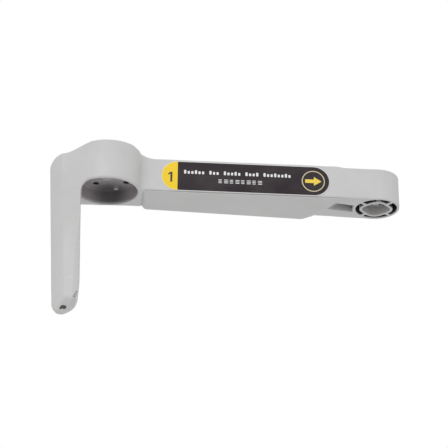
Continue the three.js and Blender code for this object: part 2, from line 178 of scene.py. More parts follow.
def bend(start, pull, end, steps=8):
    """Points on a soft bend from start to end, drawn toward pull. The start itself is left out."""
    points = []
    for i in range(1, steps + 1):
        t = i / steps
        weights = ((1 - t) ** 2, 2 * t * (1 - t), t * t)
        points.append(tuple(sum(w * p[k] for w, p in zip(weights, (start, pull, end))) for k in (0, 1)))
    return points


def wave(start, end, steps=10):
    """Points on an S curve that leaves and arrives level. The start itself is left out."""
    points = []
    for i in range(1, steps + 1):
        t = i / steps
        rise = 3 * t * t - 2 * t ** 3
        points.append((start[0] + (end[0] - start[0]) * t, start[1] + (end[1] - start[1]) * rise))
    return points


# ---- modelling -----------------------------------------------------------------------------


def only(obj):
    bpy.ops.object.select_all(action="DESELECT")
    obj.select_set(True)
    bpy.context.view_layer.objects.active = obj


def edit(obj):
    only(obj)
    bpy.ops.object.mode_set(mode="EDIT")


def leave():
    bpy.ops.object.mode_set(mode="OBJECT")


LAYS = {
    "plan": lambda a, b, h: Vector((a, b, h)),
    "front": lambda a, b, h: Vector((a, h, b)),
    "side": lambda a, b, h: Vector((h, a, b)),
}


def drawn(name, outline, lay, low, high, lean=0.0):
    """A solid drawn by hand: one corner is pulled round the outline, filled and raised."""
    place = LAYS[lay]
    shift = Vector((-lean * low, 0, 0))
    corners = [place(a, b, low) + shift for a, b in outline]
    bpy.ops.mesh.primitive_plane_add(size=1)
    obj = bpy.context.object
    obj.name = name
    edit(obj)
    bpy.ops.mesh.select_mode(type="VERT")
    bpy.ops.mesh.select_all(action="SELECT")
    bpy.ops.mesh.merge(type="CENTER")
    bpy.ops.transform.translate(value=corners[0])
    for here, there in zip(corners, corners[1:] + corners[:1]):
        bpy.ops.mesh.extrude_vertices_move(TRANSFORM_OT_translate={"value": there - here})
    bpy.ops.mesh.select_all(action="SELECT")
    bpy.ops.mesh.remove_doubles(threshold=0.001)
    bpy.ops.mesh.edge_face_add()
    rise = place(0, 0, high - low) + Vector((-lean * (high - low), 0, 0))
    bpy.ops.mesh.select_mode(type="FACE")
    bpy.ops.mesh.select_all(action="SELECT")
    bpy.ops.mesh.extrude_region_move(TRANSFORM_OT_translate={"value": rise})
    bpy.ops.mesh.select_all(action="SELECT")
    bpy.ops.mesh.normals_make_consistent(inside=False)
    leave()
    return obj


def round_bar(x, y, radius, low, high, sides=64):
    bpy.ops.object.select_all(action="DESELECT")
    bpy.ops.mesh.primitive_cylinder_add(
        vertices=sides, radius=radius, depth=high - low, location=(x, y, (low + high) / 2)
    )
    bpy.ops.object.transform_apply(location=True, rotation=True, scale=True)
    return bpy.context.object


def brick(x, y, z):
    """A block between the pairs x, y and z."""
    outline = [(x[0], y[0]), (x[1], y[0]), (x[1], y[1]), (x[0], y[1])]
    return drawn("brick", outline, "plan", z[0], z[1])


def boolean(obj, tool, operation):
    only(obj)
    step = obj.modifiers.new(operation, "BOOLEAN")
    step.operation = operation
    step.solver = "EXACT"
    step.object = tool
    bpy.ops.object.modifier_apply(modifier=step.name)
    bpy.data.objects.remove(tool)
    return obj


def cut(obj, tool):
    return boolean(obj, tool, "DIFFERENCE")


def join(obj, tool):
    return boolean(obj, tool, "UNION")


def meet(obj, tool):
    return boolean(obj, tool, "INTERSECT")


def twin(obj, name):
    copy = bpy.data.objects.new(name, obj.data.copy())
    bpy.context.scene.collection.objects.link(copy)
    return copy


def worked(obj, kind, **settings):
    """Adds a modifier with these settings and applies it."""
    only(obj)
    step = obj.modifiers.new(kind, kind)
    for key, value in settings.items():
        setattr(step, key, value)
    bpy.ops.object.modifier_apply(modifier=step.name)
    return obj


def softened(obj, grid, rounds, keep=1.0):
    """Rounds every edge as moulding and paint do: a fine skin over the form, smoothed and thinned."""
    worked(obj, "REMESH", mode="VOXEL", voxel_size=grid)
    worked(obj, "SMOOTH", factor=0.5, iterations=rounds)
    if keep < 1:
        worked(obj, "DECIMATE", ratio=keep)
    return obj


def finished(obj, name, body, material, stands_for, angle=30):
    """Brings a piece to metres, shades it, and ties it to the frame."""
    obj.name = name
    obj.data.name = name
    only(obj)
    obj.scale = (MM, MM, MM)
    bpy.ops.object.transform_apply(location=True, rotation=True, scale=True)
    bpy.ops.object.shade_smooth_by_angle(angle=math.radians(angle))
    obj.data.materials.clear()
    obj.data.materials.append(material)
    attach(obj, body)
    if stands_for:
        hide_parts(stands_for)
    return obj


# ---- the arm's form ------------------------------------------------------------------------


def plan_outline():
    reach = MOUNT_R + BLEND_R
    blend_y = near(-64.5) - BLEND_R
    blend_x = MOUNT[0] + math.sqrt(reach ** 2 - (blend_y - MOUNT[1]) ** 2)
    toward = math.degrees(math.atan2(blend_y - MOUNT[1], blend_x - MOUNT[0]))
    points = arc((0, 0), HINGE_R, -90, 90, 30)
    points += [(-60, far(-60))]
    points += bend((-60, far(-60)), (-70, far(-70)), (-77, MOUNT_FAR_Y))
    points += [(-86, MOUNT_FAR_Y + 0.4), (LEG_CREASE_X + 0.7, LEG_FRONT_Y)]
    points += arc(MOUNT, MOUNT_R, ROOT_ANGLE, toward + 360, 36)
    points += arc((blend_x, blend_y), BLEND_R, toward + 180, 90, 10)[1:]
    return points


def front_outline(fillet):
    """The arm seen from its near side. The fillet is where the leg meets the rim."""
    mount_left = (-81, MOUNT_TOP)
    shoulder = (-87, BEAM_TOP)
    points = [(8, SHELL_BOTTOM), (8, HINGE_TOP), (-9.5, HINGE_TOP)]
    points += wave((-9.5, HINGE_TOP), (-12.5, BEAM_TOP))
    points += [(-62.5, BEAM_TOP)] + wave((-62.5, BEAM_TOP), (-70, MOUNT_TOP))
    points += [mount_left] + wave(mount_left, shoulder)
    points += [(-89.8, BEAM_TOP)] + bend((-89.8, BEAM_TOP), (-92.1, BEAM_TOP - 0.1), (-92.4, -2.6))
    points += [(-92.6, -20), (-90.2, -42)]
    points += bend((-90.2, -42), (-89.6, -44.6), (-88.4, -45.9))
    points += bend((-88.4, -45.9), (-87.2, LEG_BOTTOM - 0.4), (-86, -46))
    points += [(-84.3, -44.6)] + bend((-84.3, -44.6), (-82.9, -43.3), (-82.65, -41))
    points += [(-82.5, -38), (-83.3, RIM_BOTTOM - fillet)]
    points += bend((-83.3, RIM_BOTTOM - fillet), (-83.2, RIM_BOTTOM), (-83.2 + 0.7 * fillet, RIM_BOTTOM))
    points += [(COVER_LEFT - 0.1, RIM_BOTTOM), (COVER_LEFT - 0.1, SHELL_BOTTOM)]
    return points


def leg_section(inset=0.0):
    left = (-92.3 + inset, 0.6)
    back = (-89.6 + inset, 4.8)
    crease = (LEG_CREASE_X + inset * 0.5, LEG_FRONT_Y + inset)
    points = [(-80, LEG_FRONT_Y + inset), crease]
    points += bend(crease, (-91.3 + inset, -3), left)
    points += bend(left, (-92.4 + inset, 4.4), back)
    return points + [(-80, 4.8)]


def leg_side():
    points = [(LEG_FRONT_Y, 3), (LEG_FRONT_Y, -42.9)]
    points += bend((LEG_FRONT_Y, -42.9), (-5.7, -43.5), (-5.1, -43.9))
    points += [(-2.2, -46.2)] + bend((-2.2, -46.2), (-1.3, LEG_BOTTOM - 0.1), (-0.4, -46.3))
    points += bend((-0.4, -46.3), (1.1, -45.4), (1.35, -43))
    return points + [(3.1, -13), (4.8, -9), (4.8, 3)]


def pick(test):
    """Selects the corners of the piece in hand that pass a test of their place."""
    bpy.ops.mesh.select_mode(type="VERT")
    mesh = bmesh.from_edit_mesh(bpy.context.object.data)
    for corner in mesh.verts:
        corner.select_set(test(corner.co))
    mesh.select_flush(True)
    bmesh.update_edit_mesh(bpy.context.object.data)


def leg_root():
    """Below the rim the mount's near wall runs on, and draws back into the front of the leg."""
    crease_x = LEG_CREASE_X - LEG_LEAN * RIM_BOTTOM
    root_end = ROOT_ANGLE + ROOT_SWEEP
    wall = arc(MOUNT, MOUNT_R, ROOT_ANGLE, root_end, 3)
    outline = [(crease_x + 0.5, LEG_FRONT_Y + 1)]
    for i in range(10):
        share = i / 10
        outline.append((
            crease_x + (wall[0][0] - crease_x) * share, LEG_FRONT_Y + (wall[0][1] - LEG_FRONT_Y) * share,
        ))
    outline += wall + arc(MOUNT, RECESS_R, root_end, ROOT_ANGLE - 28.5, 8) + [(-84.6, LEG_FRONT_Y + 1)]
    outline = [(x + LEG_LEAN * RIM_BOTTOM, y) for x, y in outline]
    root = drawn("root", outline, "plan", ROOT_END, RIM_BOTTOM + 0.6, LEG_LEAN)
    meet(root, drawn("front", front_outline(ROOT_FILLET), "front", -15, 9))
    edit(root)
    drop = (ROOT_START - ROOT_END) / ROOT_STEPS
    levels = [ROOT_START - drop * i for i in range(1, ROOT_STEPS + 1)]
    for level in levels[:-1]:
        bpy.ops.mesh.select_all(action="SELECT")
        bpy.ops.mesh.bisect(plane_co=(0, 0, level), plane_no=(0, 0, 1))
    for i, level in enumerate(levels):
        t = 1 - (i + 1) / ROOT_STEPS
        reach = max(t * t * (3 - 2 * t), 0.002)
        pick(lambda place: abs(place.z - level) < drop / 2 and place.y < LEG_FRONT_Y - 0.0001)
        bpy.ops.transform.resize(value=(1, reach, 1), center_override=(0, LEG_FRONT_Y, level))
    leave()
    root.location.y = 0.01
    return root


def merged(pieces):
    """Puts overlapping solids into one object, ready for one skin over all of them."""
    bpy.ops.object.select_all(action="DESELECT")
    for piece in pieces:
        piece.select_set(True)
    bpy.context.view_layer.objects.active = pieces[0]
    bpy.ops.object.join()
    return pieces[0]


def outer_form():
    """Beam, mount and leg in one block, with the soft edges of the moulding."""
    beam = drawn("form", plan_outline(), "plan", RIM_BOTTOM, 3)
    leg = drawn("leg", leg_section(), "plan", -50, 3, LEG_LEAN)
    meet(leg, drawn("leg_side", leg_side(), "side", -96, -78))
    for part in (beam, leg):
        meet(part, drawn("front", front_outline(RIM_FILLET), "front", -15, 9))
    return softened(merged([beam, leg, leg_root()]), *FORM_SKIN)


# ---- hollows -------------------------------------------------------------------------------


def eye_outline(size):
    """A square on its corner with round corners."""
    flat, corner = size
    reach = (flat - corner) * math.sqrt(2)
    points = []
    for turn in (0, 90, 180, 270):
        middle = (reach * math.cos(math.radians(turn)), reach * math.sin(math.radians(turn)))
        points += arc(middle, corner, turn - 45, turn + 45, 12)
    return points


def tunnel_outline(inset=0.0):
    left = -64.6 + inset
    near_right = -12.6 - inset
    far_right = -19.6 - inset
    return [
        (left, near(left) + WALL + inset), (near_right, near(near_right) + WALL + inset),
        (far_right, far(far_right) - WALL - inset), (left, far(left) - WALL - inset),
    ]


def parting_block(gap=0.0):
    """The space behind the leg's parting plane, where the leg cover sits."""
    outline = [
        (0.25 - gap, LEG_COVER_END - gap), (9, LEG_COVER_END - gap),
        (9, LEG_COVER_TOP + gap), (1.95 - gap, LEG_COVER_TOP + gap),
    ]
    return drawn("parting", outline, "side", -96, -78)


def leg_hollow():
    outline = [
        (-85.4, -3), (-85.4, -11.2), (-84.5, -13), (-83.65, -38),
        (-83.6, -41.5), (-96, -41.5), (-96, -3),
    ]
    hollow = drawn("leg_hollow", leg_section(LEG_WALL), "plan", -50, -2, LEG_LEAN)
    return meet(hollow, drawn("room", outline, "front", -8, 3.4))


def hinge_pockets():
    pockets = round_bar(0, POCKET_Y, POCKET_R, -12, POCKET_TOP, 96)
    cut(pockets, drawn("eye", eye_outline(EYE), "plan", -13, 0))
    for angle in RIB_ANGLES:
        rib = brick((3.4, 7.4), (-RIB_WIDTH / 2, RIB_WIDTH / 2), (-13, 0))
        rib.rotation_euler.z = math.radians(angle)
        cut(pockets, rib)
    return pockets


def wire_groove():
    outline = [(-13.7, 1.3), (-11.9, -2.7), (-6.6, -1.7), (-6.2, 2.4)]
    groove = drawn("groove", outline, "plan", -12, -4)
    meet(groove, drawn("ramp", [(-15, -13), (-5, -13), (-5, -6.4), (-7, -6.4), (-14, -9.6)], "front", -4, 4))
    return cut(groove, round_bar(0, 0, HINGE_R, -14, 0, 96))


def hollows():
    space = round_bar(*MOUNT, CUP_R, SEAT_TOP, 4, 128)
    parts = [
        round_bar(*MOUNT, RECESS_R, RIM_BOTTOM - 0.1, SEAT_BOTTOM, 128),
        round_bar(*MOUNT, CENTRE_HOLE_R, -8, 0, 48),
        drawn("tunnel", tunnel_outline(), "plan", -11, -1.4),
        brick((-70, -63), (-2.2, 1.8), (-4.6, -1.5)),
        brick((-88, -82), (-2.4, 0.6), (-4.6, -3.05)),
        brick((-20, -5.2), (-2.4, 2.4), (-5.2, -1.7)),
        hinge_pockets(),
        drawn("socket", eye_outline(SOCKET), "plan", -13, 1),
        round_bar(0, 0, SHAFT_HOLE_R, SHAFT_HOLE_FLOOR, 1, 96),
        wire_groove(),
        leg_hollow(),
        parting_block(),
    ]
    parts += [round_bar(MOUNT[0] + x, MOUNT[1] + y, SCREW_HOLE_R, -8, 0, 32) for x, y in SCREW_HOLES]
    for part in parts:
        join(space, part)
    return space


def locating_dome():
    bpy.ops.object.select_all(action="DESELECT")
    bpy.ops.mesh.primitive_uv_sphere_add(
        segments=32, ring_count=16, radius=DOME_R, location=(*DOME, SEAT_BOTTOM + 0.1),
    )
    dome = bpy.context.object
    dome.scale.z = DOME_RISE
    bpy.ops.object.transform_apply(location=True, rotation=True, scale=True)
    return dome


def chipped_sole(shell):
    """A knock in the sole of the leg, through the paint."""
    bpy.ops.object.select_all(action="DESELECT")
    bpy.ops.mesh.primitive_ico_sphere_add(subdivisions=3, radius=1, location=(-86.65, -3.25, -45.4))
    knock = bpy.context.object
    knock.scale = (0.95, 0.5, 0.32)
    knock.rotation_mode = "ZYX"
    knock.rotation_euler = (math.radians(-38), 0, math.radians(-31))
    return cut(shell, knock)


def board_posts(shell):
    for height in POST_HEIGHTS:
        x = -87.6 - LEG_LEAN * height
        for radius, start, length in ((0.9, LEG_FRONT_Y + 0.6, 1.9), (0.45, LEG_FRONT_Y + 0.6, 3.2)):
            bpy.ops.object.select_all(action="DESELECT")
            bpy.ops.mesh.primitive_cylinder_add(
                vertices=32, radius=radius, depth=length, location=(x, start + length / 2, height),
                rotation=(math.pi / 2, 0, 0),
            )
            join(shell, bpy.context.object)
    return shell


# ---- pieces --------------------------------------------------------------------------------


def make_arm_shell(form):
    shell = cut(form, hollows())
    join(shell, locating_dome())
    board_posts(shell)
    chipped_sole(shell)
    return softened(shell, *SHELL_SKIN)


def hulled(slabs):
    """One convex body stretched over thin slabs."""
    body = merged(slabs)
    edit(body)
    bpy.ops.mesh.select_all(action="SELECT")
    bpy.ops.mesh.convex_hull(use_existing_faces=False)
    bpy.ops.mesh.select_all(action="SELECT")
    bpy.ops.mesh.normals_make_consistent(inside=False)
    leave()
    return body


def cover_slab(left, right, far_right, near_line, far_inset, low):
    outline = [
        (left, near_line(left)), (right, near_line(right)),
        (far_right, far(far_right) - far_inset), (left, far(left) - far_inset),
    ]
    return drawn("slab", outline, "plan", low, low + 0.05)


def make_arm_cover():
    """The cover falls away from its near edge, and is deepest along its far side."""
    cover = hulled([
        cover_slab(COVER_LEFT, -10, -17.2, near, 0, SHELL_BOTTOM - 0.09),
        cover_slab(COVER_LEFT, -10.5, -17.9, lambda x: near(x) + 0.1, 0.1, COVER_NEAR_Z),
        cover_slab(-65.4, -19.3, -19.9, lambda x: far(x) - 1.2, 0, COVER_BOTTOM + 0.4),
        cover_slab(-64.9, -20.0, -20.6, lambda x: far(x) - 1.2, 0.4, COVER_BOTTOM),
    ])
    rails = drawn("rails", tunnel_outline(0.12), "plan", SHELL_BOTTOM - 0.3, -8.3)
    join(cover, cut(rails, drawn("between", tunnel_outline(1), "plan", -12, -7)))
    cut(cover, round_bar(*MOUNT, MOUNT_R + 0.06, -13, -8, 128))
    return softened(cover, *COVER_SKIN)


def make_leg_cover(form):
    cover = meet(twin(form, "leg_cover"), parting_block(-0.1))
    room = meet(leg_hollow(), brick((-96, -80), (-8, 4), (LEG_COVER_END + 1.6, LEG_COVER_TOP - 0.4)))
    lips = twin(room, "lips")
    middle = twin(room, "middle")
    room.location.x = 0.8
    middle.location.x = -0.8
    meet(room, middle)
    cut(lips, room)
    band = [(-0.9, -42), (0.6, -42), (2.2, -12), (0.8, -12)]
    meet(lips, drawn("band", band, "side", -96, -78))
    join(cover, lips)
    return softened(cover, *LEG_COVER_SKIN)


def on_face(obj):
    """Stands a piece that was drawn on the plane y = 0 against the slightly slanted near face."""
    only(obj)
    obj.rotation_euler.z = FACE_ANGLE
    obj.location.y = near(0)
    bpy.ops.object.transform_apply(location=True, rotation=True, scale=True)
    return obj


def stadium(left, right, half, middle):
    points = arc((right - half, middle), half, -90, 90, 24)
    return points + arc((left + half, middle), half, 90, 270, 24)


def make_label_film():
    outline = stadium(LABEL_LEFT, LABEL_RIGHT, LABEL_HALF, LABEL_Z)
    film = drawn("film", outline, "front", -FILM_LIFT - FILM, -FILM_LIFT)
    worked(film, "BEVEL", width=0.03, segments=2, limit_method="ANGLE", angle_limit=math.radians(50))
    return on_face(film)


def inked(name, outline):
    face = -FILM_LIFT - FILM
    mark = drawn(name, outline, "front", face - INK, face + 0.02)
    worked(mark, "BEVEL", width=0.008, segments=1, limit_method="ANGLE", angle_limit=math.radians(40))
    return mark


def make_figure():
    x, z = -58.75, LABEL_Z - 0.4
    outline = [
        (x - 0.05, z - 1.55), (x + 0.5, z - 1.55), (x + 0.5, z + 1.55), (x + 0.05, z + 1.55),
        (x - 0.62, z + 1.12), (x - 0.62, z + 0.62), (x - 0.05, z + 0.95),
    ]
    return on_face(inked("figure", outline))


def make_arrow():
    x, z = ARROW
    outline = [
        (x - 2.3, z - 0.55), (x + 0.15, z - 0.55), (x + 0.15, z - 1.35), (x + 2.3, z),
        (x + 0.15, z + 1.35), (x + 0.15, z + 0.55), (x - 2.3, z + 0.55),
    ]
    return on_face(inked("arrow", outline))


def make_ring():
    ring = inked("ring", arc(ARROW, RING_OUTER, 0, 352.5, 47))
    face = -FILM_LIFT - FILM
    inside = drawn("ring_inside", arc(ARROW, RING_INNER, 0, 352.5, 47), "front", face - 1, face + 1)
    return on_face(cut(ring, inside))


def print_marks():
    """Two rows of small plain dashes, in place of print: left, right, middle height, height."""
    marks = []
    x = -55.0
    for word in (6, 3, 5, 4, 8):
        for k in range(word):
            tall = 1.15 if k % 3 == 0 else 0.85
            marks.append((x, x + 0.62, LABEL_Z + 0.75 + tall / 2, tall))
            x += 1.0
        x += 1.05
    x = -45.4
    for k in range(8):
        for part in (-0.45, 0.0, 0.45):
            marks.append((x, x + (1.15 if k % 2 else 0.95), LABEL_Z - 1.2 + part, 0.2))
        x += 1.58
    return marks


def make_print_bars():
    bars = None
    for left, right, middle, height in print_marks():
        low, high = middle - height / 2, middle + height / 2
        corner = min(height, right - left) * 0.3
        outline = arc((right - corner, low + corner), corner, -90, 0, 3)
        outline += arc((right - corner, high - corner), corner, 0, 90, 3)
        outline += arc((left + corner, high - corner), corner, 90, 180, 3)
        outline += arc((left + corner, low + corner), corner, 180, 270, 3)
        bar = inked("bar", outline)
        if bars is None:
            bars = bar
        else:
            join(bars, bar)
    return on_face(bars)


def refined(node, edge, rounds=2):
    """A copy of a small CAD part with merged corners and softly broken edges, in millimetres."""
    piece = twin(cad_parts[node], node + "_fine")
    only(piece)
    piece.scale = (1000, 1000, 1000)
    bpy.ops.object.transform_apply(location=True, rotation=True, scale=True)
    edit(piece)
    bpy.ops.mesh.select_all(action="SELECT")
    bpy.ops.mesh.remove_doubles(threshold=0.002)
    bpy.ops.mesh.dissolve_limited(angle_limit=math.radians(1))
    leave()
    if edge:
        worked(
            piece, "BEVEL", width=edge, segments=rounds, limit_method="ANGLE", angle_limit=math.radians(40),
        )
    return piece


# ---- materials -----------------------------------------------------------------------------


class Wiring:
    """Adds shader nodes to one tree and connects them."""

    def __init__(self, tree):
        self.tree = tree

    def add(self, kind, inputs=None, **settings):
        node = self.tree.nodes.new("ShaderNode" + kind)
        for key, value in settings.items():
            setattr(node, key, value)
        for key, value in (inputs or {}).items():
            self.feed(node.inputs[key], value)
        return node

    def feed(self, socket, value):
        if isinstance(value, bpy.types.NodeSocket):
            self.tree.links.new(value, socket)
        else:
            socket.default_value = value

    def millimetres(self):
        coords = self.add("TexCoord").outputs["Object"]
        return self.add("Mapping", {"Vector": coords, "Scale": (1000, 1000, 1000)}).outputs[0]

    def sum(self, operation, a, b=0.0, clamp=False):
        return self.add("Math", {0: a, 1: b}, operation=operation, use_clamp=clamp).outputs[0]

    def ramp(self, value, low, high, start=0.0, end=1.0):
        inputs = {"Value": value, "From Min": low, "From Max": high, "To Min": start, "To Max": end}
        return self.add("MapRange", inputs, interpolation_type="SMOOTHSTEP").outputs["Result"]

    def noise(self, vector, scale, detail=2.0, roughness=0.5):
        inputs = {"Vector": vector, "Scale": scale, "Detail": detail, "Roughness": roughness}
        return self.add("TexNoise", inputs).outputs["Fac"]

    def mix(self, factor, a, b):
        node = self.add("Mix", data_type="RGBA")
        self.feed(node.inputs[0], factor)
        self.feed(node.inputs[6], a)
        self.feed(node.inputs[7], b)
        return node.outputs[2]

    def distance(self, vector, centre, axes="XYZ"):
        """Distance from a point, counted along the named axes only."""
        keep = tuple(1.0 if axis in axes else 0.0 for axis in "XYZ")
        away = self.add("VectorMath", {0: vector, 1: centre}, operation="SUBTRACT").outputs[0]
        flat = self.add("VectorMath", {0: away, 1: keep}, operation="MULTIPLY").outputs[0]
        return self.add("VectorMath", {0: flat}, operation="LENGTH").outputs["Value"]


def group(name, inputs, outputs):
    """An empty shader group with these sockets, and its wiring."""
    tree = bpy.data.node_groups.new(name, "ShaderNodeTree")
    for socket, kind in inputs:
        tree.interface.new_socket(name=socket, in_out="INPUT", socket_type="NodeSocket" + kind)
    for socket, kind in outputs:
        tree.interface.new_socket(name=socket, in_out="OUTPUT", socket_type="NodeSocket" + kind)
    wires = Wiring(tree)
    return wires, tree.nodes.new("NodeGroupInput").outputs, tree.nodes.new("NodeGroupOutput").inputs


def build_grain_group():
    """The fine even texture of a moulded or blasted surface."""
    wires, given, result = group(
        "moulded_grain", [("Vector", "Vector"), ("Grain", "Float")], [("Height", "Float")],
    )
    fine = wires.noise(given["Vector"], given["Grain"], 3.0, 0.6)
    cells = wires.add("TexVoronoi", {"Vector": given["Vector"], "Scale": given["Grain"]}, feature="SMOOTH_F1")
    fine = wires.sum("MULTIPLY", fine, 0.6)
    cells = wires.sum("MULTIPLY", cells.outputs[0], 0.4)
    wires.feed(result["Height"], wires.sum("ADD", fine, cells))
    return wires.tree


def build_wear_group():
    """Where edges have rubbed: sharp outward edges, broken up by noise."""
    wires, given, result = group(
        "edge_wear", [("Vector", "Vector"), ("Pointiness", "Float"), ("Start", "Float"), ("Spread", "Float")],
        [("Mask", "Float")],
    )
    edge = wires.ramp(given["Pointiness"], given["Start"], wires.sum("ADD", given["Start"], given["Spread"]))
    broken = wires.ramp(wires.noise(given["Vector"], 0.8, 5.0, 0.65), 0.42, 0.62)
    wires.feed(result["Mask"], wires.sum("MULTIPLY", edge, broken))
    return wires.tree


def build_dust_group():
    """Faint mottling from handling and dust."""
    wires, given, result = group(
        "handling_dust", [("Vector", "Vector"), ("Amount", "Float")], [("Mask", "Float")],
    )
    broad = wires.noise(given["Vector"], 0.11, 4.0, 0.55)
    specks = wires.ramp(wires.noise(given["Vector"], 3.2, 2.0, 0.5), 0.66, 0.74)
    both = wires.sum("ADD", wires.ramp(broad, 0.35, 0.7), wires.sum("MULTIPLY", specks, 0.5))
    wires.feed(result["Mask"], wires.sum("MULTIPLY", both, given["Amount"], clamp=True))
    return wires.tree


GRAIN = build_grain_group()
WEAR = build_wear_group()
DUST = build_dust_group()


def placed(wires, tree, output, **inputs):
    node = wires.add("Group", node_tree=tree)
    for key, value in inputs.items():
        wires.feed(node.inputs[key], value)
    return node.outputs[output]


def new_material(name):
    material = bpy.data.materials.new(name)
    material.use_nodes = True
    tree = material.node_tree
    tree.nodes.clear()
    wires = Wiring(tree)
    shader = wires.add("BsdfPrincipled")
    wires.feed(wires.add("OutputMaterial").inputs["Surface"], shader.outputs[0])
    return material, wires, shader


def bump(wires, shader, height, strength, depth_mm):
    node = wires.add("Bump", {"Height": height, "Strength": strength, "Distance": depth_mm * MM})
    wires.feed(shader.inputs["Normal"], node.outputs[0])


def bare_inside(wires, place):
    """Where the paint gives way to the dark plastic: the mount's hollows and the hinge pockets, where the
    spray did not reach, and the wire groove, darker the deeper it runs.
    """
    split = wires.add("SeparateXYZ", {0: place})
    x, y, z = split.outputs
    from_mount = wires.distance(place, (*MOUNT, 0), "XY")
    in_mount = wires.sum("MULTIPLY", wires.ramp(from_mount, 8.52, 8.4), wires.ramp(z, 0.75, 0.35))
    in_mount = wires.sum("MULTIPLY", in_mount, wires.ramp(z, -10.5, -9.6, 0.15, 1.0))
    # Painted highlight: the paint colour comes back in a soft round spot at the dome's lowest point.
    outside_dome_highlight = wires.ramp(wires.distance(place, (*DOME, SEAT_BOTTOM - 0.55)), 0.25, 0.85)
    in_mount = wires.sum("MULTIPLY", in_mount, outside_dome_highlight)
    # Painted light: the wall of the centre hole keeps the pale paint colour, as if lit from above through the
    # hole.
    in_mount = wires.sum("MULTIPLY", in_mount, wires.ramp(from_mount, 1.72, 1.85))
    deep = wires.ramp(z, -10.05, -9.65)
    from_hinge = wires.distance(place, (0, POCKET_Y, 0), "XY")
    in_hinge = wires.sum("MULTIPLY", wires.ramp(from_hinge, 6.0, 5.9), deep)
    in_hinge = wires.sum("MULTIPLY", in_hinge, wires.ramp(z, -2.4, -2.8))
    beside = wires.sum("MULTIPLY", wires.ramp(x, -14.2, -13.6), wires.ramp(x, -6.0, -6.4))
    beside = wires.sum("MULTIPLY", beside, wires.ramp(wires.sum("ABSOLUTE", y), 3.2, 2.9))
    # The groove is darker the deeper it runs.
    in_groove = wires.sum("MULTIPLY", beside, wires.ramp(z, -9.9, -7.4, 0.0, 0.9))
    in_groove = wires.sum("MULTIPLY", in_groove, wires.ramp(z, -2.0, -3.0))
    return wires.sum("MAXIMUM", in_mount, wires.sum("MAXIMUM", in_hinge, in_groove))


def bare_plastic_and_painted_shading(wires, place):
    """The dark plastic, with painted shade deeper in the mount's far corner and in the hinge pockets, and
    painted light that makes it paler in the socket.
    """
    x, y, _ = wires.add("SeparateXYZ", {0: place}).outputs
    across = wires.sum("ADD", wires.sum("ABSOLUTE", x), wires.sum("ABSOLUTE", y))
    # Painted shade: the plastic darkens toward the corner where the seat meets the mount's far wall.
    corner = wires.distance(place, (-75, 3.4, -7.6))
    plastic = wires.mix(wires.ramp(corner, 7.0, 1.5), BARE, PAINTED_CORNER_SHADE)
    # Painted shade: round the hinge axis the pockets are darker than the bare plastic elsewhere.
    plastic = wires.mix(wires.ramp(across, 9.5, 8.5), plastic, POCKET_PAINTED_SHADE)
    # Painted light: nearest the hinge axis, in the socket, the plastic is paler.
    return wires.mix(wires.ramp(across, 5.5, 5.2), plastic, SOCKET_PAINTED_LIGHT)


def spot(wires, place, centre, size, ragged):
    """A ragged round mark."""
    away = wires.distance(place, centre)
    away = wires.sum("ADD", away, wires.sum("MULTIPLY", wires.sum("SUBTRACT", ragged, 0.5), size * 1.6))
    return wires.ramp(away, size, size * 0.72)


def tip_marks(wires, place):
    """Knocks and rubbed paint at the foot of the leg."""
    ragged = wires.noise(place, 1.1, 4.0, 0.65)
    marks = spot(wires, place, TIP_KNOCKS[0], 0.55, ragged)
    for centre in TIP_KNOCKS[1:]:
        marks = wires.sum("MAXIMUM", marks, spot(wires, place, centre, 0.65, ragged))
    for centre, size in TIP_SCUFFS:
        scuff = wires.sum("MULTIPLY", spot(wires, place, centre, size, ragged), 0.55)
        marks = wires.sum("MAXIMUM", marks, scuff)
    return marks


def painted_hole_shade(wires, place):
    """Painted shade deep inside the mount's screw holes."""
    inside = 0.0
    for x, y in SCREW_HOLES:
        away = wires.distance(place, (MOUNT[0] + x, MOUNT[1] + y, 0), "XY")
        inside = wires.sum("MAXIMUM", inside, wires.ramp(away, 0.88, 0.8))
    return inside


def scratches(wires, place):
    """Long faint scuffs that run along the leg, thickest at its foot."""
    stretched = wires.add("Mapping", {"Vector": place, "Scale": (3.0, 3.0, 0.35), "Rotation": (0, 0.4, 0)})
    lines = wires.ramp(wires.noise(stretched.outputs[0], 1.0, 5.0, 0.7), 0.60, 0.72)
    height = wires.add("SeparateXYZ", {0: place}).outputs[2]
    return wires.sum("MULTIPLY", lines, wires.ramp(height, -34.0, -44.0))


